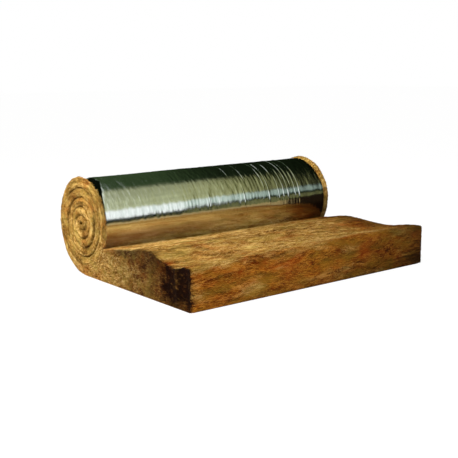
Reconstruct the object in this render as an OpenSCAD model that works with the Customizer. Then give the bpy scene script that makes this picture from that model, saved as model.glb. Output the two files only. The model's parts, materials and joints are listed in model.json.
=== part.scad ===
// Foil-faced mineral wool insulation roll, partly unrolled, wool side up.
// The roll's axis runs along X. The unrolled mat lies on the floor towards -Y and ends in a straight cut.
// The origin is on the floor, under the middle of the whole piece. Sizes are in millimetres.

/* [Mat] */
// Width of the mat, which is also the length of the roll
mat_w = 1200; // [600:10:1500]
// Distance along the floor from the cut end to the roll's axis
unrolled_l = 743; // [660:1:1500]
// Thickness of the mat where the roll presses it to the floor
pressed_t = 39; // [20:1:80]

/* [Roll] */
// Radius of the roll, over the foil
roll_r = 177; // [150:1:230]
// How far in front of the roll's axis the mat starts to lift off the floor
heel_setback = 16.5; // [4:0.5:40]
// Radius of the eye left in the middle of the winding
eye_r = 8; // [5:1:14]
// Radius of the innermost turn
core_r = 30; // [24:1:40]
// Number of wound turns
turns = 4; // [3:1:5]
// Opening between neighbouring turns at the roll's ends
turn_gap = 3; // [1:0.5:5]
// Depth of that opening
turn_gap_depth = 25; // [5:1:60]

/* [Unrolled mat] */
// Height of the cut end, where the wool has sprung back
cut_h = 162; // [120:1:200]
// Height at which the roll meets the unrolled mat
nip_h = 124; // [80:1:150]
// Dip behind the cut end at the left edge: distance from the cut end
left_dip_at = 110; // [60:1:180]
// Dip at the left edge: height
left_dip_h = 135; // [110:1:170]
// Dip at the right edge: distance from the cut end
right_dip_at = 205; // [60:1:240]
// Dip at the right edge: height
right_dip_h = 138; // [110:1:170]
// Hump in front of the roll at the left edge: distance from the cut end
left_hump_at = 255; // [200:1:420]
// Hump at the left edge: height
left_hump_h = 176; // [120:1:210]
// Hump at the right edge: distance from the cut end
right_hump_at = 416; // [260:1:440]
// Hump at the right edge: height
right_hump_h = 148; // [120:1:210]

/* [Foil] */
// Thickness of the foil facing with its bonded backing
foil_t = 1; // [0.6:0.1:2]
// Bare wool beside the foil at the left edge
left_bare_w = 10; // [4:1:40]
// Bare wool beside the foil at the right edge
right_bare_w = 22; // [4:1:40]
// How far the bare wool bulges past the foil around the roll
rim_h = 6; // [2:0.5:12]

/* [Hidden] */
$fn = 96;

// Cutters reach this far past the faces that they cut through
cut_past = 2;
// Grid of the unrolled mat's top: spans across its width, and steps along each wave
width_spans = 12;
wave_steps = 8;
// How far inside the roll the top's last wave ends, so that it runs right into the roll
nip_sink = 12;
// Angle by which the opening at the nip reaches past the unrolled mat's top
nip_open = 3;
// Gap between the foil on the roll and the unrolled mat under it
nip_gap = 2;
// Largest angle that one straight edge of a pie slice spans
slice_step = 30;

axis_h = roll_r + pressed_t;
// The heel is the bend behind the roll: an arc that touches the floor and runs smoothly into the roll
heel_r = roll_r + pressed_t / 2 + pow(heel_setback, 2) / (2 * pressed_t);
heel_end = atan2(axis_h - heel_r, heel_setback);
turn_pitch = (roll_r - core_r) / turns;

piece_l = unrolled_l + max(roll_r + rim_h, heel_r - heel_setback);
cut_y = -piece_l / 2;
axis_y = cut_y + unrolled_l;
heel_y = axis_y - heel_setback;
left_x = -mat_w / 2;
right_x = mat_w / 2;

// Where the unrolled mat's top meets the roll: its distance from the cut end, and its angle on the roll
nip_drop = axis_h - nip_h;
nip_at = unrolled_l - sqrt(pow(roll_r, 2) - pow(nip_drop, 2));
nip_angle = 180 + asin(nip_drop / roll_r);
under_roll = 270;

function lerp(a, b, t) = a + (b - a) * t;
function ease(t) = (1 - cos(180 * t)) / 2;

// Crests and troughs of the unrolled mat's top, as [distance from the cut end, height], at a share s of its width
function stations(s) = [
    [0, cut_h],
    [lerp(left_dip_at, right_dip_at, s), lerp(left_dip_h, right_dip_h, s)],
    [lerp(left_hump_at, right_hump_at, s), lerp(left_hump_h, right_hump_h, s)],
    [nip_at + nip_sink, nip_h],
];

// The top line at a share s of the width: eased waves between the stations, then flat to under the roll's axis
function top_line(s) = let (st = stations(s)) concat(
    [for (i = [0 : len(st) - 2], j = [0 : wave_steps - 1]) let (t = j / wave_steps)
        [lerp(st[i][0], st[i + 1][0], t), lerp(st[i][1], st[i + 1][1], ease(t))]],
    [st[len(st) - 1], [unrolled_l, nip_h]]
);

// Extrudes an outline drawn in Y and Z along X, from x0 to x1
module across(x0, x1) {
    translate([x0, 0, 0]) rotate([90, 0, 90]) linear_extrude(x1 - x0) children();
}

// A pie slice that covers a circle of radius reach, counter-clockwise from angle a0 to a1
module slice(reach, a0, a1) {
    pieces = ceil((a1 - a0) / slice_step);
    polygon(concat([[0, 0]], [for (i = [0 : pieces]) let (a = lerp(a0, a1, i / pieces))
        2 * reach * [cos(a), sin(a)]]));
}

module ring(inner_r, outer_r) {
    difference() {
        circle(outer_r);
        circle(inner_r);
    }
}

module ring_slice(inner_r, outer_r, a0, a1) {
    intersection() {
        ring(inner_r, outer_r);
        slice(outer_r, a0, a1);
    }
}

// The unrolled mat, from the cut end to under the roll's axis
module unrolled_mat() {
    lines = [for (i = [0 : width_spans]) top_line(i / width_spans)];
    n = len(lines[0]);
    rows = width_spans + 1;
    function x_of(i) = lerp(left_x, right_x, i / width_spans);
    top = [for (i = [0 : width_spans], p = lines[i]) [x_of(i), cut_y + p[0], p[1]]];
    floor_points = [for (p = top) [p[0], p[1], 0]];
    low = rows * n;
    function quad(i, j) = [i * n + j, i * n + j + 1, (i + 1) * n + j + 1, (i + 1) * n + j];
    top_faces = [for (i = [0 : rows - 2], j = [0 : n - 2]) quad(i, j)];
    floor_faces = [for (f = top_faces) [f[3] + low, f[2] + low, f[1] + low, f[0] + low]];
    left_faces = [for (j = [0 : n - 2]) [j, j + low, j + 1 + low, j + 1]];
    right_faces = [for (j = [0 : n - 2]) let (k = (rows - 1) * n + j) [k, k + 1, k + 1 + low, k + low]];
    cut_faces = [for (i = [0 : rows - 2]) let (k = i * n) [k, k + n, k + n + low, k + low]];
    back_faces = [for (i = [0 : rows - 2]) let (k = i * n + n - 1) [k, k + low, k + n + low, k + n]];
    polyhedron(
        concat(top, floor_points),
        concat(top_faces, floor_faces, left_faces, right_faces, cut_faces, back_faces),
        convexity = 4
    );
}

// The wound part, turned about the roll's axis. Beside the foil its bare ends flare out
module wound_roll() {
    translate([left_x, axis_y, axis_h]) rotate([0, 90, 0]) rotate_extrude() polygon([
        [0, 0],
        [roll_r + rim_h, 0],
        [roll_r, left_bare_w],
        [roll_r, mat_w - right_bare_w],
        [roll_r + rim_h, mat_w],
        [0, mat_w],
    ]);
}

// The bend in which the mat leaves the floor and turns up behind the roll, grown outwards by grow
module heel(grow = 0) {
    translate([heel_y, heel_r]) intersection() {
        circle(heel_r + grow);
        slice(heel_r, -90, heel_end);
    }
}

// The outline of the heel and the roll together, grown outwards by grow
module wound_outline(grow = 0) {
    heel(grow);
    translate([axis_y, axis_h]) circle(roll_r + grow);
}

module eye() {
    translate([left_x - cut_past, axis_y, axis_h]) rotate([0, 90, 0])
        cylinder(h = mat_w + 2 * cut_past, r = eye_r);
}

// The line of the openings between the turns: along the nip, then half-turns that shrink by one pitch a turn
module turn_line() {
    translate([axis_y, axis_h]) {
        ring_slice(roll_r - foil_t, roll_r - foil_t + turn_gap, nip_angle - nip_open, under_roll);
        for (i = [0 : turns - 1]) {
            back_r = roll_r - foil_t - turn_pitch * (i + 1 / 2);
            front_r = roll_r - foil_t - turn_pitch * (i + 1);
            translate([0, -turn_pitch / 2]) ring_slice(back_r, back_r + turn_gap, -90, 90);
            ring_slice(front_r, front_r + turn_gap, 90, 270);
        }
    }
}

module turn_openings() {
    across(left_x - cut_past, left_x + turn_gap_depth) turn_line();
    across(right_x - turn_gap_depth, right_x + cut_past) turn_line();
}

// The foil's path: flat under the mat, up round the heel, over the roll and down to where it tucks in under it
module foil_line() {
    translate([cut_y, 0]) square([heel_y - cut_y, foil_t]);
    difference() {
        wound_outline();
        wound_outline(-foil_t);
    }
}

// The room that the wool leaves for the foil: the foil's path, and what is outside it
module foil_room() {
    translate([cut_y - cut_past, -cut_past]) square([heel_y - cut_y + 2 * cut_past, foil_t + cut_past]);
    difference() {
        wound_outline(nip_gap);
        wound_outline(-foil_t);
    }
}

// Extrudes an outline drawn in Y and Z over the width of the foil
module across_foil() {
    across(left_x + left_bare_w, right_x - right_bare_w) children();
}

module foil_facing() {
    color("silver") across_foil() foil_line();
}

module wool_mat() {
    color("peru") difference() {
        union() {
            unrolled_mat();
            across(left_x, right_x) heel();
            wound_roll();
        }
        across_foil() foil_room();
        turn_openings();
        eye();
    }
}

wool_mat();
foil_facing();
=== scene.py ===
"""Looks of a foil-faced mineral wool insulation roll that is partly unrolled, wool side up.

Every size is in metres and every place is in the CAD frame: X along the roll's axis, Y from the cut end
towards the roll, Z up from the floor.
"""
import json
import math
from collections import namedtuple

import bpy
import numpy as np
from mathutils import Matrix, Vector
from mathutils.geometry import delaunay_2d_cdt


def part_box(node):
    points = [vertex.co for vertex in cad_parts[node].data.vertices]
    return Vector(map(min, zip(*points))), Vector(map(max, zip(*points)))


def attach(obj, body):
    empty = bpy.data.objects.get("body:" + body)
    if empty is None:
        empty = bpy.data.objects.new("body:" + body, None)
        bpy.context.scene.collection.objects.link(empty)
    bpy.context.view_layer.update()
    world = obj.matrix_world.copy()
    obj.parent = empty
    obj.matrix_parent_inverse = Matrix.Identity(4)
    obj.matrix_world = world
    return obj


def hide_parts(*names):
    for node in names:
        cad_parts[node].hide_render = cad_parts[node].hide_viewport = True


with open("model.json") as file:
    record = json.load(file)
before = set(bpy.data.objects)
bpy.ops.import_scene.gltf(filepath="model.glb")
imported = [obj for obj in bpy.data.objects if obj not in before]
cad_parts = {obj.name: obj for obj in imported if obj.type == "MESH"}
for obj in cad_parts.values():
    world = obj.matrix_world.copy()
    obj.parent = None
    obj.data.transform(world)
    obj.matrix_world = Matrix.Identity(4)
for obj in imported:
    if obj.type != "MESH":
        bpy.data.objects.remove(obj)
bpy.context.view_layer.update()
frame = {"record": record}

# Sizes read from the frame
mounts = {m["name"]: m for m in frame["record"]["mounts"]}
wool_lo, wool_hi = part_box("wool_mat")
foil_lo, foil_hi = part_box("foil_facing")
AXIS_Y, AXIS_Z = mounts["winding_eye"]["pos_m"][1:]
EYE_R = mounts["winding_eye"]["dims"]["r_mm"] / 1000
LEFT_X, RIGHT_X = wool_lo.x, wool_hi.x
MAT_W = RIGHT_X - LEFT_X
CUT_Y = wool_lo.y
FOIL_LEFT, FOIL_RIGHT = foil_lo.x, foil_hi.x
ROLL_R = foil_hi.z - AXIS_Z
RIM_H = wool_hi.z - foil_hi.z
PRESSED_T = AXIS_Z - ROLL_R
UNROLLED_L = AXIS_Y - CUT_Y

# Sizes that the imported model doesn't state, as in the part's source
HEEL_SETBACK = 0.0165
CORE_R = 0.030
TURNS = 4
FOIL_T = 0.001
CUT_H = 0.162
NIP_H = 0.124
NIP_SINK = 0.012
LEFT_DIP, RIGHT_DIP = (0.110, 0.135), (0.205, 0.138)
LEFT_HUMP, RIGHT_HUMP = (0.255, 0.176), (0.416, 0.148)

# Derived places
HEEL_R = ROLL_R + PRESSED_T / 2 + HEEL_SETBACK**2 / (2 * PRESSED_T)
HEEL_Y = AXIS_Y - HEEL_SETBACK
HEEL_END = math.atan2(AXIS_Z - HEEL_R, HEEL_SETBACK)
NIP_DROP = AXIS_Z - NIP_H
NIP_AT = UNROLLED_L - math.sqrt(ROLL_R**2 - NIP_DROP**2)
NIP_ANGLE = math.pi + math.asin(NIP_DROP / ROLL_R)
TURN_PITCH = (ROLL_R - CORE_R) / TURNS

SEED = 7


# Helpers: repeatable noise, easing and meshes

ONE_QUAD = [(0, 1, 2, 3)]


def lattice(cell, number):
    """A repeatable random value from -1 to 1 for each whole-number point. The large numbers mix its bits."""
    h = cell[:, 0] * 73856093 ^ cell[:, 1] * 19349663 ^ cell[:, 2] * 83492791 ^ (SEED + number) * 40503
    h = (h ^ h >> 13) * 1274126177 & 0xFFFFFFFF
    h = (h ^ h >> 16) * 2246822519 & 0xFFFFFFFF
    return (h >> 8 & 0xFFFF) / 32767.5 - 1


def smooth_noise(points, cell_size, number):
    """Smooth noise from -1 to 1 at points, in cells of the given sizes. Each number gives another noise."""
    p = points / np.asarray(cell_size, float)
    cell = np.floor(p).astype(np.int64)
    t = p - cell
    t = t * t * (3 - 2 * t)
    total = np.zeros(len(p))
    for corner in np.ndindex(2, 2, 2):
        weight = np.prod(np.where(corner, t, 1 - t), axis=1)
        total += weight * lattice(cell + np.array(corner), number)
    return total


def step(low, high, x):
    """0 below low, 1 above high, and a smooth rise between. It falls where high is less than low."""
    t = np.clip((x - low) / (high - low), 0, 1)
    return t * t * (3 - 2 * t)


def add_mesh(name, vertices, faces, material):
    """A new, smooth mesh object in the scene. Its faces may be triangles and quads."""
    mesh = bpy.data.meshes.new(name)
    mesh.from_pydata([tuple(v) for v in vertices], [], [tuple(f) for f in faces])
    mesh.polygons.foreach_set("use_smooth", np.ones(len(mesh.polygons), bool))
    mesh.materials.append(material)
    mesh.update()
    made = bpy.data.objects.new(name, mesh)
    bpy.context.scene.collection.objects.link(made)
    return made


def add_attribute(piece, name, values):
    """A number for each vertex, which the piece's material reads by name."""
    attribute = piece.data.attributes.new(name, "FLOAT", "POINT")
    attribute.data.foreach_set("value", np.asarray(values, np.float32))


def add_map(piece, name, at):
    """A texture map with a place for each vertex."""
    loops = np.zeros(len(piece.data.loops), np.int32)
    piece.data.loops.foreach_get("vertex_index", loops)
    piece.data.uv_layers.new(name=name).data.foreach_set("uv", at[loops].ravel().astype(np.float32))


def grid_faces(rows, columns):
    """Quads of a grid whose vertices are numbered row by row."""
    i, j = np.meshgrid(np.arange(rows - 1), np.arange(columns - 1), indexing="ij")
    a = (i * columns + j).ravel()
    return np.stack([a, a + columns, a + columns + 1, a + 1], axis=1)


# Materials


class Tree:
    """A short way to add and link a material's nodes."""

    def __init__(self, owner):
        owner.use_nodes = True
        self.tree = owner.node_tree
        self.tree.nodes.clear()

    def add(self, kind, inputs=None, **settings):
        made = self.tree.nodes.new(kind)
        for key, value in settings.items():
            setattr(made, key, value)
        for key, value in (inputs or {}).items():
            self.put(value, made.inputs[key])
        return made

    def put(self, value, socket):
        if isinstance(value, bpy.types.NodeSocket):
            self.tree.links.new(value, socket)
        else:
            socket.default_value = value

    def math(self, operation, a, b=0.0, clamp=False):
        made = self.add("ShaderNodeMath", {0: a, 1: b}, operation=operation, use_clamp=clamp)
        return made.outputs[0]

    def mix(self, share, a, b):
        made = self.add("ShaderNodeMix", {"Factor": share}, data_type="RGBA")
        for key, value in (("A", a), ("B", b)):
            socket = next(s for s in made.inputs if s.name == key and s.type == "RGBA")
            self.put(value, socket)
        return next(s for s in made.outputs if s.type == "RGBA")

    def noise(self, vector, scale, detail, roughness, offset=(0, 0, 0)):
        """Noise that is stretched: scale says how many cells a metre holds along each axis."""
        cells = self.add("ShaderNodeMapping", {"Vector": vector, "Scale": scale, "Location": offset})
        made = self.add(
            "ShaderNodeTexNoise",
            {"Vector": cells.outputs["Vector"], "Scale": 1.0, "Detail": detail, "Roughness": roughness},
        )
        return made.outputs["Fac"]

    def span(self, value, low, high, new_low=0.0, new_high=1.0):
        """A value from low to high, moved to lie from new_low to new_high."""
        made = self.add(
            "ShaderNodeMapRange",
            {"Value": value, "From Min": low, "From Max": high, "To Min": new_low, "To Max": new_high},
        )
        return made.outputs[0]

    def ramp(self, value, stops):
        made = self.add("ShaderNodeValToRGB", {"Fac": value})
        elements = made.color_ramp.elements
        while len(elements) < len(stops):
            elements.new(0.5)
        for element, (place, colour) in zip(elements, stops):
            element.position = place
            element.color = colour
        return made.outputs["Color"]

    def finish(self, shader):
        self.add("ShaderNodeOutputMaterial", {"Surface": shader.outputs[0]})

    def attribute(self, name, output="Fac"):
        return self.add("ShaderNodeAttribute", attribute_name=name).outputs[output]


def srgb(red, green, blue):
    """A linear colour from the 0 to 255 values that a picture shows."""
    parts = [v / 255 for v in (red, green, blue)]
    return tuple(v / 12.92 if v <= 0.04045 else ((v + 0.055) / 1.055) ** 2.4 for v in parts) + (1.0,)


GOLD = srgb(236, 204, 132)
OCHRE = srgb(194, 154, 80)
TAN = srgb(150, 108, 46)
UMBER = srgb(88, 54, 18)
AMBER = srgb(192, 130, 42)
ORANGE = srgb(152, 84, 16)
BROWN = srgb(106, 52, 8)
DARK = srgb(50, 22, 5)
MOSS = srgb(168, 150, 72)
STRAW = srgb(190, 158, 76)
RUST = srgb(158, 70, 12)
LOAM = srgb(126, 98, 22)
# Near black for the darkening, which is partly a painted shade
NEAR_BLACK = srgb(20, 7, 4)
FOIL_DULL, FOIL_BRIGHT = (0.76, 0.77, 0.76, 1), (0.90, 0.91, 0.90, 1)
# Tint of dust and of a painted reflection of the wool
DUST_AND_REFLECTION_TINT = (0.33, 0.26, 0.26, 1)
# Tint of a painted darker reflection on the foil's right end
DARK_REFLECTION_TINT = (0.28, 0.18, 0.13, 1)


def wool_material():
    """Bonded mineral wool: streaks along its fibres in gold, ochre and brown, and orange where it is cut.

    The tone attribute lightens or darkens each strand and the layers of the winding, and holds a painted
    light on the top behind the hump and by the nip.
    """
    material = bpy.data.materials.new("mineral_wool")
    t = Tree(material)
    place = t.add("ShaderNodeTexCoord").outputs["Object"]
    warp = t.math("MULTIPLY", t.noise(place, (9, 9, 9), 2.0, 0.55), 0.07)
    shift = t.add("ShaderNodeCombineXYZ", {"Y": warp, "Z": warp}).outputs[0]
    fibre = t.attribute("fibre", "Vector")
    bent = t.add("ShaderNodeVectorMath", {0: fibre, 1: shift}, operation="ADD").outputs[0]
    streaks = t.noise(bent, (8, 55, 55), 4.0, 0.62)
    threads = t.noise(bent, (30, 270, 270), 3.0, 0.6)
    tone = t.math("ADD", t.math("MULTIPLY", streaks, 0.6), t.math("MULTIPLY", threads, 0.4))
    own = t.math("SUBTRACT", t.attribute("tone"), 0.5)
    tone = t.math("ADD", tone, t.math("MULTIPLY", own, 0.40))
    surface = t.ramp(tone, [(0.33, UMBER), (0.44, TAN), (0.53, OCHRE), (0.68, GOLD)])
    cut = t.ramp(tone, [(0.35, DARK), (0.44, BROWN), (0.53, ORANGE), (0.66, AMBER)])
    rusty = t.span(t.noise(place, (7, 14, 18), 3.0, 0.55), 0.48, 0.68)
    mossy = t.span(t.noise(place, (9, 22, 22), 2.0, 0.5, (3, 5, 8)), 0.45, 0.70)
    ember = t.span(t.noise(bent, (11, 38, 38), 3.0, 0.6, (7, 2, 4)), 0.50, 0.66)
    height = t.add("ShaderNodeSeparateXYZ", {0: place}).outputs["Z"]
    ember = t.math("MULTIPLY", ember, t.span(height, 0.03, 0.12, 0.2, 0.65))
    cut = t.mix(ember, cut, RUST)
    surface = t.mix(t.math("MULTIPLY", rusty, 0.7), surface, cut)
    cut = t.mix(t.math("MULTIPLY", mossy, 0.5), cut, LOAM)
    surface = t.mix(t.math("MULTIPLY", mossy, 0.4), surface, MOSS)
    surface = t.mix(t.math("MULTIPLY", t.attribute("wound"), 0.12), surface, STRAW)
    colour = t.mix(t.attribute("cut"), surface, cut)
    # Painted shade: the openings between the turns on the roll's ends are painted dark.
    colour = t.mix(t.attribute("painted_gap_shade"), colour, DARK)
    # Near black over the left side's front corner, and a painted shade at the right end and low down.
    colour = t.mix(t.attribute("darkening_and_painted_shade"), colour, NEAR_BLACK)
    grain = t.math("ADD", t.noise(place, (120, 420, 420), 4.0, 0.65), threads)
    bump = t.add("ShaderNodeBump", {"Height": grain, "Strength": 0.7, "Distance": 0.003})
    shader = t.add(
        "ShaderNodeBsdfPrincipled",
        {"Base Color": colour, "Roughness": 0.9, "Specular IOR Level": 0.05, "Normal": bump.outputs[0]},
    )
    t.finish(shader)
    return material


def foil_material():
    """Bright aluminium foil with fine hairlines around the roll.

    Wool dust, with a painted reflection of the wool, dulls it where it meets the mat, and a painted darker
    reflection darkens it at its right end.
    """
    material = bpy.data.materials.new("aluminium_foil")
    t = Tree(material)
    path = t.add("ShaderNodeUVMap", uv_map="path").outputs[0]
    hair = t.noise(path, (700, 9, 1), 3.0, 0.6)
    streak = t.span(t.noise(path, (130, 26, 1), 4.0, 0.65), 0.3, 0.7)
    dust_and_painted_reflection = t.attribute("dust_and_painted_reflection")
    colour = t.mix(streak, FOIL_DULL, FOIL_BRIGHT)
    # Dust and a painted reflection of the wool tint the foil near the mat.
    colour = t.mix(dust_and_painted_reflection, colour, DUST_AND_REFLECTION_TINT)
    # Painted darker reflection at the foil's right end.
    colour = t.mix(t.attribute("painted_dark_reflection"), colour, DARK_REFLECTION_TINT)
    roughness = t.span(hair, 0.3, 0.7, 0.08, 0.17)
    roughness = t.math("ADD", roughness, t.math("MULTIPLY", dust_and_painted_reflection, 0.07))
    bump = t.add("ShaderNodeBump", {"Height": hair, "Strength": 0.25, "Distance": 0.0006})
    shader = t.add(
        "ShaderNodeBsdfPrincipled",
        {"Base Color": colour, "Metallic": 1.0, "Roughness": roughness, "Normal": bump.outputs[0]},
    )
    t.finish(shader)
    return material


# The wool mat

TOP_STEP = 0.006
CUT_STEP = 0.004
WIDTH_STEP = 0.006
END_STEP = 0.0028
HIDDEN_TURN = math.radians(9)
EDGE_R = 0.003
CORNER_R = 0.010
TOE_R = 0.006
WOOL_UNDER_FOIL = 0.015
EYE_SIDES = 20
ENDS = ("left_end", "right_end")


def top_height(share, along):
    """Height of the unrolled mat's top at a share of the width and a distance from the cut end."""
    dip_at, dip_h = (a + (b - a) * share for a, b in zip(LEFT_DIP, RIGHT_DIP))
    hump_at, hump_h = (a + (b - a) * share for a, b in zip(LEFT_HUMP, RIGHT_HUMP))
    places = [0 * share, dip_at, hump_at, 0 * share + NIP_AT + NIP_SINK]
    heights = [0 * share + CUT_H, dip_h, hump_h, 0 * share + NIP_H]
    height = heights[0]
    for i in range(3):
        rise = (1 - np.cos(math.pi * np.clip((along - places[i]) / (places[i + 1] - places[i]), 0, 1))) / 2
        height = height + (heights[i + 1] - heights[i]) * rise
    return height


def bare_flare(x):
    """0 where foil covers the roll, rising to 1 on the bare wool beside it."""
    left = step(FOIL_LEFT + 0.002, FOIL_LEFT - 0.006, x)
    right = step(FOIL_RIGHT - 0.002, FOIL_RIGHT + 0.010, x)
    return np.maximum(left, right)


def edge_inset(x):
    """How far the mat's skin draws in where its ends are rounded off."""
    depth = np.clip(EDGE_R - np.minimum(x - LEFT_X, RIGHT_X - x), 0, EDGE_R)
    return EDGE_R - np.sqrt(EDGE_R**2 - depth**2)


def outline_marks():
    """The mat's outline, anticlockwise seen from the right: each point's kind of stretch and place on it."""
    marks = [("floor", y) for y in np.linspace(CUT_Y + TOE_R, HEEL_Y, 9)]
    marks += [("heel", a) for a in np.arange(-math.pi / 2 + HIDDEN_TURN, HEEL_END, HIDDEN_TURN)]
    first, last = HEEL_END + HIDDEN_TURN / 2, NIP_ANGLE - HIDDEN_TURN / 3
    marks += [("roll", a) for a in np.arange(first, last, HIDDEN_TURN)]
    marks += [("roll", NIP_ANGLE)]
    marks += [("top", d) for d in np.arange(NIP_AT - TOP_STEP, CORNER_R, -TOP_STEP)]
    marks += [("corner", a) for a in np.radians(np.linspace(90, 180, 8))]
    marks += [("cut", h) for h in np.arange(CUT_H - CORNER_R - CUT_STEP, TOE_R, -CUT_STEP)]
    marks += [("toe", a) for a in np.radians(np.linspace(180, 270, 5)[:-1])]
    return marks


def outline_point(kind, at, x):
    """Points of the outline at places x along the width: y, z, and the outward direction's y and z."""
    share = (x - LEFT_X) / MAT_W
    zero = 0 * x
    flare = bare_flare(x)
    if kind == "floor":
        return zero + at, zero, zero, zero - 1
    if kind == "top":
        return zero + CUT_Y + at, top_height(share, zero + at), zero, zero + 1
    if kind == "cut":
        return zero + CUT_Y, zero + at, zero - 1, zero
    out_y, out_z = zero + math.cos(at), zero + math.sin(at)
    if kind == "heel":
        r = HEEL_R - WOOL_UNDER_FOIL * (1 - flare) * step(-math.pi / 2, -1.2, at)
        return HEEL_Y + r * out_y, HEEL_R + r * out_z, out_y, out_z
    if kind == "roll":
        r = ROLL_R - WOOL_UNDER_FOIL + (WOOL_UNDER_FOIL + RIM_H) * flare
        return AXIS_Y + r * out_y, AXIS_Z + r * out_z, out_y, out_z
    r, middle_z = (CORNER_R, CUT_H - CORNER_R) if kind == "corner" else (TOE_R, TOE_R)
    return CUT_Y + r * (1 + out_y), middle_z + r * out_z, out_y, out_z


def width_places():
    """Where the mat's rows lie along X: close together at the rounded ends."""
    ends = np.array([0, 0.0004, 0.001, 0.002])
    middle = np.linspace(EDGE_R, MAT_W - EDGE_R, round((MAT_W - 2 * EDGE_R) / WIDTH_STEP))
    return LEFT_X + np.concatenate([ends, middle, MAT_W - ends[::-1]])


def end_points(loop, spacing):
    """Points spread over the inside of an end's outline, clear of its edge and of the eye."""
    rng = np.random.default_rng(SEED)
    low, high = loop.min(0), loop.max(0)
    y, z = np.meshgrid(np.arange(low[0], high[0], spacing), np.arange(low[1], high[1], spacing * 0.866))
    y[1::2] += spacing / 2
    grid = np.stack([y.ravel(), z.ravel()], axis=1)
    grid += rng.uniform(-0.2, 0.2, grid.shape) * spacing
    inside = np.zeros(len(grid), bool)
    clear = np.full(len(grid), np.inf)
    for a, b in zip(loop, np.roll(loop, -1, axis=0)):
        along = b - a
        crosses = (a[1] > grid[:, 1]) != (b[1] > grid[:, 1])
        if crosses.any():
            inside ^= crosses & (grid[:, 0] < a[0] + (grid[:, 1] - a[1]) * along[0] / along[1])
        t = np.clip(((grid - a) @ along) / (along @ along), 0, 1)
        clear = np.minimum(clear, np.linalg.norm(grid - a - t[:, None] * along, axis=1))
    from_eye = np.hypot(grid[:, 0] - AXIS_Y, grid[:, 1] - AXIS_Z)
    return grid[inside & (clear > spacing * 0.6) & (from_eye > EYE_R + spacing * 0.6)]


def end_cap(loop):
    """Triangles over an end: its points, each one's number in the outline and the eye, and the triangles."""
    turn = 2 * math.pi * np.arange(EYE_SIDES) / EYE_SIDES
    eye = np.stack([AXIS_Y + EYE_R * np.cos(turn), AXIS_Z + EYE_R * np.sin(turn)], axis=1)
    points = np.vstack([loop, eye, end_points(loop, END_STEP)])
    n, m = len(loop), len(eye)
    edges = [(i, (i + 1) % n) for i in range(n)] + [(n + i, n + (i + 1) % m) for i in range(m)]
    made = delaunay_2d_cdt([Vector(p) for p in points], edges, [list(range(n))], 1, 1e-7)
    flat = np.array([tuple(v) for v in made[0]])
    source = np.array([ids[0] if ids else -1 for ids in made[3]])
    triangles = np.array(made[2])
    middle = flat[triangles].mean(axis=1)
    in_eye = np.hypot(middle[:, 0] - AXIS_Y, middle[:, 1] - AXIS_Z) < EYE_R * 0.95
    return flat, source, triangles[~in_eye]


def wool_shape():
    """The mat before its relief: vertices, triangles, and what kind of surface each vertex lies on."""
    marks = outline_marks()
    xs = width_places()
    inset = edge_inset(xs)
    columns = []
    for kind, at in marks:
        y, z, out_y, out_z = outline_point(kind, at, xs)
        drawn_in = 0 if kind == "floor" else inset
        columns.append(np.stack([xs, y - out_y * drawn_in, np.maximum(z - out_z * drawn_in, 0)], axis=1))
    skin = np.stack(columns, axis=1)
    rows, count = skin.shape[:2]
    vertices = [skin.reshape(-1, 3)]
    kinds = [np.tile([kind for kind, _ in marks], rows)]
    ring = np.arange(count)
    after = np.roll(ring, -1)
    start = count * np.arange(rows - 1)[:, None]
    low = np.stack([start + ring, start + count + ring, start + count + after], axis=2)
    high = np.stack([start + ring, start + count + after, start + after], axis=2)
    triangles = [low.reshape(-1, 3), high.reshape(-1, 3)]
    total = rows * count
    eyes = []
    for row, x, kind in ((0, LEFT_X, "left_end"), (rows - 1, RIGHT_X, "right_end")):
        flat, source, faces = end_cap(skin[row][:, 1:])
        number = np.where((source >= 0) & (source < count), row * count + source, -1)
        new = np.flatnonzero(number < 0)
        number[new] = total + np.arange(len(new))
        vertices.append(np.column_stack([np.full(len(new), x), flat[new]]))
        kinds.append(np.full(len(new), kind))
        eyes.append(np.array([number[np.flatnonzero(source == count + k)[0]] for k in range(EYE_SIDES)]))
        triangles.append(number[faces[:, ::-1] if kind == "left_end" else faces])
        total += len(new)
    (left, right), (left_after, right_after) = eyes, (np.roll(e, -1) for e in eyes)
    triangles.append(np.stack([left, left_after, right_after], axis=1))
    triangles.append(np.stack([left, right_after, right], axis=1))
    return np.vstack(vertices), np.vstack(triangles), np.concatenate(kinds)


# Heights of the relief on the top, the cut, the ends and the bare rims
TOP_CLUMP = 0.0022
TOP_TUFT = 0.0012
TOP_SWELL = 0.003
CUT_CLUMP = 0.0030
END_GRAIN = 0.0022
TURN_BULGE = 0.010
TURN_GROOVE = 0.026
TURN_SLIP = 0.004
RIM_FUZZ = 0.0016
# Half the width of the openings between turns, and how open they are, from the outside in
GAP_HALF = 0.0065
TURN_OPEN = np.array([1.0, 1.0, 1.0, 0.8, 0.4])
# The left side's front corner, measured back from the cut end: its crease, a second line and the black patch
SIDE_CREASE_AT = 0.082
SECOND_LINE = 0.074
LEFT_BLACK_L = 0.190
SCOOP_DEPTH = 0.010
# Sags of the cut end's upper corners, and loose wool on the top
RIGHT_SAG, LEFT_SAG = 0.002, 0.010
DIP_FILL = 0.004
NIP_FLUFF = 0.010
BODY_TONE = 0.35
# How much shorter the streaks are on the ends than along X, and the radius at which their angles count
END_FIBRES = 3.0
FIBRE_R = 0.1


def winding(points):
    """Radius and angle about the roll's axis, and how many turns in from the first opening a point lies."""
    dy, dz = points[:, 1] - AXIS_Y, points[:, 2] - AXIS_Z
    r = np.hypot(dy, dz)
    angle = np.degrees(np.arctan2(dz, dy)) % 360
    drop = np.where(dy > 0, (1 + dz / np.maximum(r, 1e-6)) / 2, 1.0)
    return r, angle, (ROLL_R - FOIL_T - r) / TURN_PITCH - drop


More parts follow.
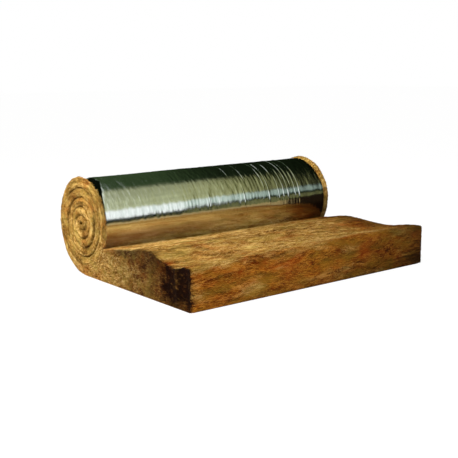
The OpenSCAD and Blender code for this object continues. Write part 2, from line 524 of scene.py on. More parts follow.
def turn_gap(points):
    """1 in the middle of the opening between two turns on the roll's ends, falling to 0 beside it.

    The turns stand open at the front and below, where the mat pulls on them, and lie close elsewhere.
    """
    r, angle, turns_in = winding(points)
    wander = 0.09 * smooth_noise(points, (1, 0.035, 0.035), 20)
    wander += 0.05 * smooth_noise(points, (1, 0.010, 0.010), 21)
    place = turns_in + wander
    turn = np.round(place).astype(int)
    from_gap = np.abs(place - turn) * TURN_PITCH
    pulled = step(135, 185, angle) * step(300, 250, angle)
    opening = (0.24 + 0.76 * pulled) * TURN_OPEN[np.clip(turn, 0, len(TURN_OPEN) - 1)]
    opening *= 0.75 + 0.5 * smooth_noise(points, (1, 0.045, 0.045), 22)
    counts = (turn >= 0) & (r > CORE_R * 0.6)
    opening = np.clip(opening, 0, 1)
    half = GAP_HALF * (0.4 + 0.6 * opening)
    return np.where(counts, step(half, half * 0.35, from_gap) * opening**0.5, 0)


def layer_tone(points):
    """Lighter and darker layers of the winding, from -1 to 1, which run round the roll."""
    r, angle, turns_in = winding(points)
    round_roll = np.column_stack([turns_in * TURN_PITCH, np.radians(angle) * np.maximum(r, CORE_R), 0 * r])
    layers = smooth_noise(round_roll, (0.007, 0.07, 1), 26)
    layers += 0.6 * smooth_noise(round_roll, (0.018, 0.10, 1), 27)
    return 0.7 * layers * in_roll(points)


def in_roll(points):
    """1 on the wound part of the ends and 0 on the unrolled mat, with a soft edge."""
    r = winding(points)[0]
    return step(ROLL_R + 0.004, ROLL_R - 0.010, r)


def end_relief(points):
    """How far the ends stand out from their flat faces."""
    _, _, turns_in = winding(points)
    across = turns_in - np.floor(turns_in)
    crown = np.sqrt(np.clip(4 * across * (1 - across), 0, 1))
    slip = smooth_noise(np.column_stack([np.floor(turns_in) * 7, points[:, 1:] / 0.2]), (1, 1, 1), 23)
    turns = TURN_BULGE * (crown - 0.6) + TURN_SLIP * slip - TURN_GROOVE * turn_gap(points)
    grain = smooth_noise(points, (1, 0.014, 0.014), 24)
    grain += 0.7 * smooth_noise(points, (1, 0.007, 0.007), 25)
    wound = in_roll(points)
    return wound * turns + END_GRAIN * grain * (0.5 + 0.5 * wound)


def from_crease(points):
    """Distance behind the upright crease in the left side near the cut end."""
    along = points[:, 1] - CUT_Y
    lean = 0.008 * (points[:, 2] - CUT_H / 2) / CUT_H
    return along - SIDE_CREASE_AT - lean + 0.004 * smooth_noise(points, (1, 1, 0.03), 30)


def side_scoops(points):
    """Depth of the two hollows at the left side's front corner, on either side of the crease."""
    behind = from_crease(points)
    front = np.clip(1 - ((behind + 0.042) / 0.038) ** 2, 0, 1)
    back = np.clip(1 - ((behind - 0.046) / 0.042) ** 2, 0, 1)
    return SCOOP_DEPTH * np.maximum(front, back)


def left_darkening(points, kinds, ragged):
    """Darkening of the left side: black at its front corner save for two lighter lines, and brown behind."""
    along = points[:, 1] - CUT_Y
    height = points[:, 2]
    from_left = points[:, 0] - LEFT_X + 0.010 * smooth_noise(points, (0.02, 0.02, 0.009), 37)
    near_left = np.where(kinds == "left_end", 1, step(0.020, 0.006, from_left))
    behind = from_crease(points)
    upper = step(0.06, 0.10, height + ragged)
    black = step(LEFT_BLACK_L + 0.040, LEFT_BLACK_L - 0.035, along + ragged)
    for line, lighter in ((0, 0.68), (SECOND_LINE, 0.40)):
        black *= 1 - lighter * step(0.0055, 0.001, np.abs(behind - line)) * upper
    black *= 1 - 0.20 * step(0.045, 0.0, height + ragged)
    black *= 0.99 - 0.18 * step(0.1, 0.7, smooth_noise(points, (1, 0.007, 0.006), 34))
    brown = (0.56 + 0.26 * step(0.05, 0.16, height)) * step(0.74, LEFT_BLACK_L, along + 2 * ragged)
    brow = step(0.045, 0.008, mat_top(along) - height + ragged) * step(0.60, 0.42, along + ragged)
    brown = np.maximum(brown, 0.78 * brow * step(0.16, 0.24, along))
    return near_left * np.maximum(black, brown) * (kinds != "right_end")


def right_painted_shade(points, kinds, ragged):
    """Painted shade: the brown at the right end of the cut and of the top, and low on the front of the roll's
    right rim.
    """
    along = points[:, 1] - CUT_Y
    low = points[:, 2] + ragged
    to_right = RIGHT_X - points[:, 0]
    right = 0.36 * step(0.16, 0.0, to_right + 2 * ragged) + 0.34 * step(0.75, 0.1, to_right + 2 * ragged)
    right += 0.22 * step(0.07, 0.0, low) * step(0.22, 0.02, to_right)
    under = 0.45 * step(0.06, 0.0, low) * step(1.0, 0.5, to_right)
    on_cut = np.isin(kinds, ("cut", "corner", "toe", "top")) * step(0.09, 0.02, along)
    cut = on_cut * (right + under * (1 - right))
    top = 0.55 * step(0.16, 0.02, to_right + 2 * ragged) * (kinds == "top")
    rim = 0.62 * step(150, 192, winding(points)[1]) * (kinds == "roll") * (to_right < MAT_W / 2)
    return np.maximum(np.maximum(cut, top), rim)


def darkening_and_painted_shade_share(points, kinds):
    """How dark the mat is made: on its left side, and a painted shade at its right end."""
    ragged = 0.026 * smooth_noise(points, (1, 0.05, 0.020), 31)
    ragged += 0.024 * smooth_noise(points, (1, 0.010, 0.008), 32)
    left, right = left_darkening(points, kinds, ragged), right_painted_shade(points, kinds, ragged)
    return np.clip(np.maximum(left, right), 0, 1)


def cut_share(points, kinds):
    """1 on the cut face, where the wool is more orange. It fades out over the top, save at the right end."""
    along = points[:, 1] - CUT_Y
    ragged = 0.05 * smooth_noise(points, (0.16, 0.05, 0.04), 33)
    ragged += 0.03 * smooth_noise(points, (0.05, 0.014, 0.014), 35)
    share = 0.95 * step(0.080, -0.01, along + ragged)
    share = np.maximum(share, 0.8 * step(0.30, 0.10, RIGHT_X - points[:, 0] + ragged))
    side = 0.75 * step(0.50, 0.12, along + ragged)
    share = np.where(np.isin(kinds, ENDS), side, share)
    return np.where(np.isin(kinds, ("roll", "heel")), 0, np.clip(share, 0, 1))


def crisp_share(points):
    """1 over most of the mat, falling towards its right end, which is cut clean."""
    return 0.25 + 0.75 * step(0.01, 0.12, RIGHT_X - points[:, 0])


def loose_fill(points):
    """How much higher loose wool lies along the nip and in the dip, most at the left edge."""
    along = points[:, 1] - CUT_Y
    from_left = points[:, 0] - LEFT_X
    fill = NIP_FLUFF * step(NIP_AT - 0.22, NIP_AT - 0.08, along)
    fill *= 1 - 0.5 * step(NIP_AT - 0.04, NIP_AT, along)
    fill *= 0.35 * step(0.55, 0.20, from_left) + 0.65 * step(0.30, 0.02, from_left)
    fill += DIP_FILL * step(0.05, 0.10, along) * step(0.17, 0.12, along) * step(0.10, 0.02, from_left)
    return fill


def corner_sag(points):
    """How far the two upper corners of the cut end sag."""
    along = points[:, 1] - CUT_Y
    sag = RIGHT_SAG * step(0.12, 0.0, along) * step(0.30, 0.0, RIGHT_X - points[:, 0])
    sag += LEFT_SAG * step(0.06, 0.0, along) * step(0.10, 0.0, points[:, 0] - LEFT_X)
    return sag * points[:, 2] / CUT_H


def relieved(points, kinds):
    """The mat's points moved by the relief of its surface."""
    moved = points.copy()
    crisp = crisp_share(points)
    clump = smooth_noise(points, (0.13, 0.016, 0.016), 1)
    clump += 0.7 * smooth_noise(points, (0.05, 0.009, 0.009), 2)
    clump *= crisp
    tuft = smooth_noise(points, (0.022, 0.006, 0.006), 3)
    swell = TOP_SWELL * smooth_noise(points, (0.25, 0.16, 0.16), 4)
    lumps = (TOP_TUFT * tuft + swell) * crisp
    off_floor = step(0.0, 0.012, points[:, 2])
    to_nip = step(NIP_AT + 0.002, NIP_AT - 0.03, points[:, 1] - CUT_Y)
    top = np.isin(kinds, ("top", "corner"))
    moved[:, 2] += top * to_nip * (TOP_CLUMP * clump + lumps) + (kinds == "top") * loose_fill(points)
    moved[:, 2] -= corner_sag(points)
    cut = np.isin(kinds, ("cut", "corner", "toe"))
    moved[:, 1] -= cut * off_floor * (CUT_CLUMP * clump + lumps)
    rim = np.isin(kinds, ("roll", "heel")) * bare_flare(points[:, 0]) * off_floor
    out = points[:, 1:] - (AXIS_Y, AXIS_Z)
    out /= np.linalg.norm(out, axis=1)[:, None]
    fuzz = smooth_noise(points, (0.01, 0.02, 0.02), 5)
    fuzz += smooth_noise(points, (0.006, 0.008, 0.008), 6)
    moved[:, 1:] += (RIM_FUZZ * rim * fuzz)[:, None] * out
    outward = (kinds == "right_end") * 1.0 - (kinds == "left_end")
    moved[:, 0] += outward * end_relief(points)
    near_left = step(0.012, 0.0, points[:, 0] - LEFT_X)
    moved[:, 0] += near_left * side_scoops(points) * step(0.0, 0.02, points[:, 2])
    moved[:, 2] = np.maximum(moved[:, 2], 0)
    return moved


def mat_top(along):
    """Height of the mat's upper side at its left edge, also where the roll lies on it."""
    under_roll = AXIS_Z - np.sqrt(np.clip(ROLL_R**2 - (along - UNROLLED_L) ** 2, 0.25 * ROLL_R**2, None))
    return np.where(along < NIP_AT, top_height(0 * along, along), under_roll)


def fibre_place(points, kinds):
    """Where each point lies in the wool, along its fibres and then across them.

    The fibres run along X. On the ends they run round the roll, and along the mat beside it.
    """
    r, angle, _ = winding(points)
    along = points[:, 1] - CUT_Y
    round_roll = np.column_stack([END_FIBRES * FIBRE_R * np.radians(angle), r, 0 * r])
    by_height = points[:, 2] / mat_top(along) * CUT_H
    along_mat = np.column_stack([END_FIBRES * along, by_height, 0 * r])
    on_ends = np.where((r < ROLL_R)[:, None], round_roll, along_mat)
    return np.where(np.isin(kinds, ENDS)[:, None], on_ends, points)


def wear_wool(piece, points, kinds, tone):
    """Gives a wool piece what its material reads: tones with painted light, painted shade in the openings
    between turns, darkening with painted shade, the cut, fibres.
    """
    ends = np.isin(kinds, ENDS)
    along = points[:, 1] - CUT_Y
    patches = 0.13 * smooth_noise(points, (0.22, 0.08, 0.08), 36) * ~ends
    behind_hump = step(0.26, 0.40, along) * step(0.65, 0.12, (points[:, 0] - LEFT_X) / MAT_W)
    # Painted light: the top is lighter behind the hump and by the nip.
    light = (0.26 * behind_hump + 0.08 * step(NIP_AT - 0.10, NIP_AT, along)) * (kinds == "top")
    wound = ends * in_roll(points)
    side = (0.10 * step(0.72, 0.58, along) - 0.06 * step(0.70, 0.80, along)) * ends * (1 - in_roll(points))
    tone = tone + 0.35 * ends * layer_tone(points) + patches + light - side - 0.05 * wound
    add_attribute(piece, "tone", tone)
    # Painted shade in the openings between turns.
    add_attribute(piece, "painted_gap_shade", wound * turn_gap(points) * 0.95)
    add_attribute(piece, "wound", wound)
    # Darkening of the left side, and a painted shade at the right end.
    add_attribute(piece, "darkening_and_painted_shade", darkening_and_painted_shade_share(points, kinds))
    add_attribute(piece, "cut", cut_share(points, kinds))
    fibre = piece.data.attributes.new("fibre", "FLOAT_VECTOR", "POINT")
    fibre.data.foreach_set("vector", fibre_place(points, kinds).ravel().astype(np.float32))


def make_wool():
    """The mat itself. Returns its points, triangles, kinds and material, for the strands that lie on it."""
    points, triangles, kinds = wool_shape()
    moved = relieved(points, kinds)
    material = wool_material()
    wool = add_mesh("wool_mat_body", moved, triangles, material)
    wear_wool(wool, points, kinds, np.full(len(points), BODY_TONE))
    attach(wool, "root")
    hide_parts("wool_mat")
    return moved, triangles, kinds, material


# Loose strands on the wool

Strands = namedtuple("Strands", "count lengths width lifts tone_spread fan swirl", defaults=(0,))
# The strands on each kind of surface. Their headings fan out, and swirl together, by angles in radians
STRANDS = {
    "top": Strands(26000, (0.020, 0.055), 0.0013, (0.0007, 0.0020), 0.26, 0.22, 0.75),
    "cut": Strands(15000, (0.020, 0.055), 0.0013, (0.0007, 0.0020), 0.36, 0.16, 0.45),
    "left_end": Strands(30000, (0.006, 0.015), 0.0010, (0.0008, 0.0024), 0.34, 0.25),
    "right_end": Strands(22000, (0.006, 0.015), 0.0010, (0.0005, 0.0016), 0.30, 0.25),
    "roll": Strands(7000, (0.008, 0.016), 0.0010, (0.0007, 0.0016), 0.26, 0.40),
}
RIM_FAN = 0.35
# Share of the strands that have one end free
FREE_STRANDS = 0.05
STRAND_SINK = 0.0008
STRAND_FLOOR = 0.0004
# Strands stay clear of the nip, of rounded edges and of the openings between turns
NIP_CLEAR = 0.006
EDGE_TILT = 0.4
GAP_CLEAR = 0.15
# Along a strand: how far along it a row lies, and the row's share of the width
STRAND_TAPER = ((0, 0.35), (1 / 3, 1), (2 / 3, 1), (1, 0.35))


def scatter(points, triangles, count, rng):
    """Random places on triangles, spread evenly, with the outward direction at each."""
    corner = points[triangles]
    normal = np.cross(corner[:, 1] - corner[:, 0], corner[:, 2] - corner[:, 0])
    area = np.linalg.norm(normal, axis=1)
    pick = rng.choice(len(triangles), count, p=area / area.sum())
    a, b = rng.random((2, count))
    a, b = np.where(a + b > 1, 1 - a, a), np.where(a + b > 1, 1 - b, b)
    one, two, three = (corner[pick, i] for i in range(3))
    place = one + a[:, None] * (two - one) + b[:, None] * (three - one)
    return place, normal[pick] / area[pick][:, None]


def strand_map(piece, count):
    """A texture map in which each strand has a cell of its own."""
    across = math.ceil(math.sqrt(count))
    cell = np.stack(np.divmod(np.arange(count), across), axis=1) / across
    corner = np.array([(u, t) for t, _ in STRAND_TAPER for u in (0.15, 0.85)]) * (1, 0.8) + (0, 0.1)
    add_map(piece, "OFBake", (cell[:, None] + corner[None] / across).reshape(-1, 2))


def add_strands(name, place, out, heading, kind, material, rng):
    """Loose strands as ribbons that lie along their heading, arched or with one end free."""
    laid = STRANDS[kind]
    n = len(place)
    heading = heading - out * np.sum(heading * out, axis=1)[:, None]
    heading /= np.linalg.norm(heading, axis=1)[:, None]
    side = np.cross(out, heading)
    twist = rng.normal(0, 0.5, n)[:, None]
    broad = side * np.cos(twist) + out * np.sin(twist)
    on_ends = kind in ENDS
    length = rng.uniform(*laid.lengths, n)[:, None] * (1.6 - 0.6 * in_roll(place)[:, None] if on_ends else 1)
    lift = rng.uniform(*laid.lifts, n)[:, None] * (1 if on_ends else crisp_share(place)[:, None])
    room = np.abs(heading[:, 0]) * length[:, 0] / 2
    place[:, 0] = place[:, 0] if on_ends else np.clip(place[:, 0], LEFT_X + room, RIGHT_X - room)
    bend = rng.normal(0, 0.10, n)[:, None] * length
    free = (rng.random(n) < FREE_STRANDS)[:, None]
    rows = []
    for t, taper in STRAND_TAPER:
        arch = 4 * t * (1 - t)
        rise = np.where(free, t, arch) * lift - STRAND_SINK
        spine = place + heading * (t - 0.5) * length + out * rise + side * bend * arch
        half = broad * laid.width * taper / 2
        rows += [spine - half, spine + half]
    vertices = np.stack(rows, axis=1).reshape(-1, 3)
    vertices[:, 2] = np.maximum(vertices[:, 2], STRAND_FLOOR)
    first = 8 * np.arange(n)[:, None, None]
    quads = np.array([(0, 1, 3, 2), (2, 3, 5, 4), (4, 5, 7, 6)])
    piece = add_mesh(name, vertices, (first + quads).reshape(-1, 4), material)
    tone = np.repeat(np.clip(rng.normal(0.5, laid.tone_spread, n), 0, 1), 8)
    wear_wool(piece, np.repeat(place, 8, axis=0), np.full(8 * n, kind), tone)
    strand_map(piece, n)
    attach(piece, "root")


def along_width(place, spread, swirl, rng):
    """Headings along X that fan out, and swirl together over wider patches."""
    turn = rng.normal(0, spread, len(place)) + swirl * smooth_noise(place, (0.15, 0.06, 0.06), 60)
    return np.column_stack([np.cos(turn), np.sin(turn), -np.sin(turn)])


def side_flow(place):
    """Headings in which the mat's layers run on its sides: they fan out where the roll lets go of the mat."""
    along = place[:, 1] - CUT_Y
    slope = (mat_top(along + 0.01) - mat_top(along - 0.01)) / 0.02
    return np.column_stack([0 * along, 1 + 0 * along, slope * np.clip(place[:, 2] / mat_top(along), 0, 1)])


def round_axis(place, spread, rng):
    """Headings round the roll on its wound part, and along the mat elsewhere."""
    around = np.column_stack([0 * place[:, 0], -(place[:, 2] - AXIS_Z), place[:, 1] - AXIS_Y])
    around /= np.linalg.norm(around, axis=1)[:, None]
    share = in_roll(place)[:, None]
    heading = share * around + (1 - share) * side_flow(place)
    turn = rng.normal(0, spread, len(place)) + (1 - share[:, 0]) * rng.normal(0, spread, len(place))
    y, z = heading[:, 1].copy(), heading[:, 2].copy()
    heading[:, 1] = y * np.cos(turn) - z * np.sin(turn)
    heading[:, 2] = y * np.sin(turn) + z * np.cos(turn)
    return heading


def make_strands(points, triangles, kinds, material):
    """Loose strands over every face of the mat that shows."""
    of_kind = kinds[triangles]
    rng = np.random.default_rng(SEED + 70)

    def faces(*names):
        return triangles[np.isin(of_kind, names).all(axis=1)]

    for kind, over in (("top", faces("top", "corner")), ("cut", faces("cut", "corner", "toe"))):
        laid = STRANDS[kind]
        place, out = scatter(points, over, laid.count, rng)
        clear = (place[:, 1] < CUT_Y + NIP_AT - NIP_CLEAR) & (np.abs(out[:, 0]) < EDGE_TILT)
        place, out = place[clear], out[clear]
        heading = along_width(place, laid.fan, laid.swirl, rng)
        add_strands(kind + "_strands", place, out, heading, kind, material, rng)
    for kind in ENDS:
        laid = STRANDS[kind]
        place, out = scatter(points, faces(kind), laid.count, rng)
        clear = turn_gap(place) * in_roll(place) < GAP_CLEAR
        place, out = place[clear], out[clear]
        heading = round_axis(place, laid.fan, rng)
        add_strands(kind + "_strands", place, out, heading, kind, material, rng)
    laid = STRANDS["roll"]
    rim = faces("roll", "heel")
    rim = rim[bare_flare(points[rim][:, :, 0]).min(axis=1) > 0.5]
    place, out = scatter(points, rim, laid.count, rng)
    heading = round_axis(place, laid.fan, rng)
    heading[:, 0] += rng.normal(0, RIM_FAN, len(place))
    add_strands("rim_strands", place, out, heading, "roll", material, rng)


# The foil

FOIL_STEP = 0.003
FOIL_TURN = math.radians(2.0)
JAG = 0.00026
WRINKLE = 0.0003
WAVE = 0.0010
CRUMPLE, CRUMPLE_W = 0.00025, 0.09
EDGE_CURL = 0.015
EDGE_CURL_W = 0.012
FOLD_LOW_W, FOLD_HIGH_W = 0.004, 0.042
FOLD_COLUMN, CALM_COLUMN = 10, 24
TUCK = math.radians(14)
CREASE_W = 0.0028
CREASE_COLUMNS = (-0.0028, -0.0024, -0.0014, -0.0004, 0.0004, 0.0014, 0.0024, 0.0028)
# Creases round the roll: share of the width, first and last angle in degrees, height on top in millimetres
CREASES = (
    (0.433, 156, 182, 1.0),
    (0.550, 96, 124, 1.0),
    (0.590, 150, 182, 1.1),
    (0.612, 96, 136, 1.0),
    (0.690, 86, 152, 1.0),
    (0.707, 100, 186, 1.0),
    (0.744, 98, 130, 1.1),
    (0.755, 138, 174, 1.0),
    (0.778, 120, 172, 1.0),
    (0.800, 86, 174, 1.1),
    (0.818, 94, 152, 1.0),
    (0.836, 130, 172, 1.0),
    (0.856, 82, 184, 1.2),
)


def foil_path():
    """The foil's line from the cut end to the tuck under the roll: points, outward directions and lengths."""
    points = [(y, 0) for y in np.linspace(CUT_Y, HEEL_Y, 6)[:-1]]
    outward = [(0, -1)] * len(points)
    heel = (HEEL_Y, HEEL_R, HEEL_R, -math.pi / 2, HEEL_END)
    roll = (AXIS_Y, AXIS_Z, ROLL_R, HEEL_END, NIP_ANGLE + TUCK)
    for middle_y, middle_z, r, first, last in (heel, roll):
        for a in np.arange(first, last, FOIL_TURN):
            points.append((middle_y + r * math.cos(a), middle_z + r * math.sin(a)))
            outward.append((math.cos(a), math.sin(a)))
    points, outward = np.array(points), np.array(outward)
    lengths = np.concatenate([[0], np.cumsum(np.linalg.norm(np.diff(points, axis=0), axis=1))])
    return points, outward, lengths


def crease_places():
    """Where the creases lie along X."""
    return LEFT_X + MAT_W * np.array([share for share, *_ in CREASES])


def crease_height(x, length, degrees):
    """Sharp ridges that run round the roll, most of them on its right half. They are lower on its front."""
    height = np.zeros(len(x))
    for number, (at, (_, first, last, tall)) in enumerate(zip(crease_places(), CREASES)):
        ridge = np.clip(1 - np.abs(x - at) / CREASE_W, 0, 1)
        span = step(first - 4, first + 4, degrees) * step(last + 4, last - 4, degrees)
        place = np.column_stack([0 * x + number, length, 0 * x])
        uneven = 1 + 0.25 * smooth_noise(place, (1, 0.02, 1), 44)
        height += tall / 1000 * ridge * span * uneven
    return height * (0.52 + 0.48 * step(150, 115, degrees))


def fold_width(length, degrees):
    """How far in from its left edge the foil is folded down. The fold is widest on top and ragged."""
    place = np.column_stack([0 * length, length, 0 * length])
    ragged = 1 + 0.24 * smooth_noise(place, (1, 0.02, 1), 43)
    return (FOLD_LOW_W + (FOLD_HIGH_W - FOLD_LOW_W) * step(157, 105, degrees)) * ragged


def foil_relief(x, length, degrees):
    """How far the foil stands out: fine wrinkles, gentle waves and creases.

    Its left end is crumpled, and its edges curl in.
    """
    p = np.column_stack([x, length, 0 * x])
    relief = JAG * smooth_noise(p, (0.009, 0.026, 1), 40)
    relief += WRINKLE * smooth_noise(p, (0.028, 0.11, 1), 41)
    relief += WAVE * smooth_noise(p, (0.11, 0.20, 1), 42)
    crumpled = step(FOIL_LEFT + CRUMPLE_W, FOIL_LEFT, x)
    relief += CRUMPLE * crumpled * smooth_noise(p, (0.012, 0.026, 1), 45)
    relief += crease_height(x, length, degrees)
    curl = EDGE_CURL * (0.04 + 0.96 * step(162, 125, degrees))
    relief -= curl * (1 - np.clip((x - FOIL_LEFT) / fold_width(length, degrees), 0, 1))
    relief -= 0.4 * curl * (1 - np.clip((FOIL_RIGHT - x) / EDGE_CURL_W, 0, 1)) ** 2
    return relief


def foil_columns(xs, column, length, degrees):
    """Where the foil's points lie along X. The first columns follow the ragged fold at its left edge."""
    folded = FOIL_LEFT + fold_width(length, degrees)
    in_fold = FOIL_LEFT + (folded - FOIL_LEFT) * column / FOLD_COLUMN
    past_fold = folded + (xs[CALM_COLUMN] - folded) * (column - FOLD_COLUMN) / (CALM_COLUMN - FOLD_COLUMN)
    return np.where(column <= FOLD_COLUMN, in_fold, np.where(column < CALM_COLUMN, past_fold, xs[column]))


def wear_foil(foil, base, degrees, share):
    """Gives the foil what its material reads low on the roll's front: dust with a painted reflection of the
    wool, and a painted darker reflection at the right end.
    """
    front = (base[:, 0] < AXIS_Y) & (base[:, 1] > PRESSED_T)
    # Dust and a painted reflection of the wool, low on the front.
    dust_and_painted_reflection = front * step(180, 194, degrees) * (1 - 0.4 * step(198, 206, degrees))
    add_attribute(foil, "dust_and_painted_reflection", dust_and_painted_reflection * (1 - 0.75 * step(0.15, 0.70, share)))
    # Painted darker reflection at the right end.
    add_attribute(foil, "painted_dark_reflection", 0.8 * front * step(180, 188, degrees) * step(0.72, 0.98, share))


def make_foil():
    """The foil as one sheet, with a sharp edge along its fold."""
    path, outward, lengths = foil_path()
    even = np.linspace(FOIL_LEFT, FOIL_RIGHT, round((FOIL_RIGHT - FOIL_LEFT) / FOIL_STEP) + 1)
    xs = np.union1d(even, np.add.outer(crease_places(), CREASE_COLUMNS).round(5))
    rows, columns = len(path), len(xs)
    length = np.repeat(lengths, columns)
    base = np.repeat(path, columns, axis=0)
    out = np.repeat(outward, columns, axis=0)
    degrees = np.degrees(np.arctan2(base[:, 1] - AXIS_Z, base[:, 0] - AXIS_Y)) % 360
    column = np.tile(np.arange(columns), rows)
    x = foil_columns(xs, column, length, degrees)
    flat_l = HEEL_Y - CUT_Y
    relief = foil_relief(x, length, degrees) * step(flat_l, flat_l + 0.12, length)
    vertices = np.column_stack([x, base + out * relief[:, None]])
    foil = add_mesh("foil_skin", vertices, grid_faces(rows, columns)[:, ::-1], foil_material())
    edges = np.zeros(2 * len(foil.data.edges), np.int32)
    foil.data.edges.foreach_get("vertices", edges)
    foil.data.edges.foreach_set("use_edge_sharp", (column[edges.reshape(-1, 2)] == FOLD_COLUMN).all(axis=1))
    share = (x - FOIL_LEFT) / (FOIL_RIGHT - FOIL_LEFT)
    wear_foil(foil, base, degrees, share)
    add_map(foil, "path", np.column_stack([x, length]))
    add_map(foil, "OFBake", np.column_stack([share, length / lengths[-1]]))
    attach(foil, "root")
    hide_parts("foil_facing")


# Camera, light and stage

CAMERA_AT = (-2.2249, -2.7541, 0.8100)
CAMERA_YAW = math.radians(38.06)
CAMERA_PITCH = math.radians(10.48)
CAMERA_TILT = math.radians(-0.59)
CAMERA_LENS = 67.32
SENSOR_W = 36.0

AMBIENT = 0.42
AMBIENT_TINT = (1, 0.98, 0.95, 1)
WHITE = (1, 1, 1, 1)
FLOOR_GLOW = 0.90
FLOOR_SIZE = 60.0
FLOOR_DROP = 0.0006
FLOOR_PAPER = (0.92, 0.92, 0.92, 1)
FLOOR_WHITE = 1.06

# Soft boxes: name, place, size, power and tint
LIGHTS = (
    ("key", (-1.9, 0.2, 2.4), 2.0, 128, (1.0, 0.97, 0.92)),
    ("fill", (-1.0, -3.4, 1.2), 1.6, 52, (1.0, 0.98, 0.96)),
)
LIGHTS_AIM = (-0.2, 0, 0.1)


def make_camera():
    """The camera that was fitted to the photo."""
    data = bpy.data.cameras.new("camera")
    data.lens = CAMERA_LENS
    data.sensor_width = SENSOR_W
    camera = bpy.data.objects.new("camera", data)
    aim = Matrix.Rotation(-CAMERA_YAW, 4, "Z") @ Matrix.Rotation(math.pi / 2 - CAMERA_PITCH, 4, "X")
    camera.matrix_world = Matrix.Translation(CAMERA_AT) @ aim @ Matrix.Rotation(CAMERA_TILT, 4, "Z")
    bpy.context.scene.collection.objects.link(camera)
    bpy.context.scene.camera = camera


def seen_directly(t):
    """1 for rays that the camera, a mirror or a glass sends out, and 0 for the rays that light the object."""
    rays = t.add("ShaderNodeLightPath").outputs
    seen = t.math("ADD", rays["Is Camera Ray"], rays["Is Glossy Ray"])
    return t.math("ADD", seen, rays["Is Transmission Ray"], clamp=True)


def make_world():
    """A white background, which lights the object only softly."""
    world = bpy.data.worlds.new("studio")
    bpy.context.scene.world = world
    t = Tree(world)
    light = t.add("ShaderNodeBackground", {"Color": AMBIENT_TINT, "Strength": AMBIENT})
    white = t.add("ShaderNodeBackground", {"Color": WHITE, "Strength": 1.0})
    both = t.add("ShaderNodeMixShader", {0: seen_directly(t), 1: light.outputs[0], 2: white.outputs[0]})
    t.add("ShaderNodeOutputWorld", {"Surface": both.outputs[0]})


def make_floor():
    """A white floor, which the camera sees as even as the background."""
    material = bpy.data.materials.new("floor")
    t = Tree(material)
    paper = t.add("ShaderNodeBsdfDiffuse", {"Color": FLOOR_PAPER})
    glow = t.add("ShaderNodeEmission", {"Color": WHITE, "Strength": FLOOR_WHITE})
    share = t.math("MULTIPLY", seen_directly(t), FLOOR_GLOW)
    both = t.add("ShaderNodeMixShader", {0: share, 1: paper.outputs[0], 2: glow.outputs[0]})
    t.finish(both)
    half = FLOOR_SIZE / 2
    corners = [(-half, -half), (half, -half), (half, half), (-half, half)]
    floor = add_mesh("floor", [(x, y, -FLOOR_DROP) for x, y in corners], ONE_QUAD, material)


def add_light(name, place, size, power, colour):
    """A square soft box. The foil shows the screen below and not the lamps."""
    data = bpy.data.lights.new(name, "AREA")
    data.size = size
    data.energy = power
    data.color = colour
    lamp = bpy.data.objects.new(name, data)
    lamp.location = place
    lamp.rotation_euler = (Vector(LIGHTS_AIM) - Vector(place)).to_track_quat("-Z", "Y").to_euler()
    lamp.visible_glossy = False
    bpy.context.scene.collection.objects.link(lamp)


SCREEN_R = 3.2
SCREEN_LEFT, SCREEN_RIGHT = -3.4, 7.5
SCREEN_LOW, SCREEN_HIGH = math.radians(-4), math.radians(186)
SCREEN_STEP = math.radians(1)
SCREEN_COLUMNS = 110
NIGHT = np.array(srgb(31, 43, 24)[:3])
OLIVE = np.array(srgb(168, 174, 136)[:3])
BRONZE = np.array(srgb(170, 172, 112)[:3])
LAMP = np.array(srgb(248, 254, 252)[:3])
HAZE = np.array(srgb(226, 254, 236)[:3])
FLAG_X = RIGHT_X + 0.06
FLAG_H = 0.25
FLAG_FRONT = -0.25
FLAG_TINT = srgb(24, 15, 8)
BOARD_Y = CUT_Y - 0.45
BOARD_H = 0.20
BOARD_LEFT, BOARD_RIGHT = -0.8, 3.6
BOARD_TAN, BOARD_BROWN = srgb(205, 180, 122), srgb(70, 52, 26)
APRON_Y = CUT_Y - 0.02


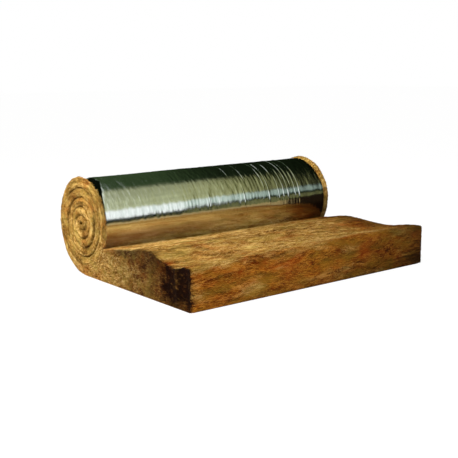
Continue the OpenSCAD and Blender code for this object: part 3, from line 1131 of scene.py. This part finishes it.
def screen_colour(angle, x):
    """The studio's bands seen from the roll: a dim foot, a dark line, a bright strip, a wall, a dark ceiling.

    Towards the right the strip narrows and all grow dimmer. A tall window at the left end of the wall lights
    the creases' flanks.
    """
    degrees = np.degrees(angle)
    mottle = smooth_noise(np.column_stack([degrees, x, 0 * x]), (5, 0.35, 1), 80)
    climb = step(1.4, 2.6, x)
    low = 8.5 + 9.5 * climb + 2 * step(2.6, 3.4, x)
    high = 29 + 4 * climb - 2 * step(2.9, 3.4, x)
    top = 89 - 38 * step(2.2, 3.5, x)
    under_wall = step(high + 6 - 2 * climb, high - 3, degrees)
    under_ceiling = step(top + 6, top - 8, degrees + 4 * mottle)
    over_line = step(low - 1, low + 1, degrees)
    foot = step(low - 5, low - 8, degrees) * climb
    behind = step(173, 176, degrees) * step(186, 183, degrees)
    dark = np.clip(1 - over_line * np.maximum(under_wall, under_ceiling) - behind, 0, 1) * (1 - foot)
    wall_tone = (1.15 - 0.35 * step(24, 95, degrees)) * (1 + 0.18 * mottle)
    wall_reach = 1 - 0.6 * step(2.7, 3.3, x) * step(high + 9, high + 3, degrees)
    wall_reach *= (0.08 + 0.92 * step(3.3, 2.0, x)) * (1 - 0.22 * step(1.9, 2.6, x))
    wall_reach *= 1 - 0.4 * step(3.0, 3.6, x)
    strip_reach = (0.36 + 0.76 * step(2.9, 1.3, x)) * (1 - 0.65 * step(3.1, 3.6, x))
    dark_reach = 2.4 - 1.7 * step(1.6, 2.2, x) - 0.3 * step(2.2, 2.6, x) - 0.34 * step(3.2, 3.6, x)
    dark_reach = np.where(degrees < 40, 0.5, dark_reach)
    warm = step(1.7, 2.5, x)[:, None]
    parts = (
        (dark * dark_reach, NIGHT),
        (foot * 0.38 * (1 - 0.6 * step(3.0, 3.5, x)), BRONZE),
        (over_line * under_wall * strip_reach, LAMP + (HAZE - LAMP) * climb[:, None]),
        ((1 - under_wall) * under_ceiling * wall_tone * wall_reach, OLIVE + (BRONZE - OLIVE) * warm),
        (behind * 0.8, LAMP),
    )
    colour = sum(share[:, None] * tint for share, tint in parts)
    window = 0.70 * step(0.50, 0.60, x) * step(0.98, 0.88, x)
    window *= step(25, 35, degrees) * step(155, 140, degrees)
    return colour * (0.08 + 0.92 * step(0.1, 0.9, x))[:, None] + window[:, None] * LAMP


def add_glowing(name, vertices, faces, colour):
    """A stage piece that glows in a colour for each vertex. Only the foil shows it."""
    material = bpy.data.materials.new(name)
    t = Tree(material)
    glow = t.add("ShaderNodeEmission", {"Color": t.attribute("bands", "Color")})
    t.finish(glow)
    piece = add_mesh(name, vertices, faces, material)
    attribute = piece.data.attributes.new("bands", "FLOAT_COLOR", "POINT")
    attribute.data.foreach_set("color", np.asarray(colour, np.float32).ravel())
    piece.visible_camera = False
    piece.visible_diffuse = False
    piece.visible_shadow = False
    piece.visible_transmission = False


def make_screen():
    """A tent with a strip light around the set."""
    angles = np.arange(SCREEN_LOW, SCREEN_HIGH, SCREEN_STEP)
    xs = np.linspace(SCREEN_LEFT, SCREEN_RIGHT, SCREEN_COLUMNS)
    angle = np.repeat(angles, len(xs))
    x = np.tile(xs, len(angles))
    vertices = np.column_stack([x, AXIS_Y - SCREEN_R * np.cos(angle), AXIS_Z + SCREEN_R * np.sin(angle)])
    colour = np.column_stack([screen_colour(angle, x), np.ones(len(x))])
    add_glowing("screen", vertices, grid_faces(len(angles), len(xs)), colour)


def make_flags():
    """A dark flag at the roll's right end, and before the mat a low board with an apron on the floor."""
    sides = [(FLAG_FRONT, 0), (AXIS_Y, 0), (AXIS_Y, FLAG_H), (FLAG_FRONT, FLAG_H)]
    add_glowing("flag", [(FLAG_X, y, z) for y, z in sides], ONE_QUAD, [FLAG_TINT] * 4)
    tints = [BOARD_TAN, BOARD_BROWN, BOARD_BROWN, BOARD_TAN]
    sides = [(BOARD_LEFT, 0), (BOARD_RIGHT, 0), (BOARD_RIGHT, BOARD_H), (BOARD_LEFT, BOARD_H)]
    add_glowing("board", [(x, BOARD_Y, z) for x, z in sides], ONE_QUAD, tints)
    sides = [(BOARD_LEFT, BOARD_Y), (BOARD_RIGHT, BOARD_Y), (BOARD_RIGHT, APRON_Y), (BOARD_LEFT, APRON_Y)]
    add_glowing("apron", [(x, y, 0) for x, y in sides], ONE_QUAD, tints)


def make_studio():
    """The background, the floor, what the foil mirrors, and two soft boxes."""
    bpy.context.scene.view_settings.view_transform = "Standard"
    make_world()
    make_floor()
    make_screen()
    make_flags()
    for light in LIGHTS:
        add_light(*light)


make_camera()
make_studio()
make_strands(*make_wool())
make_foil()
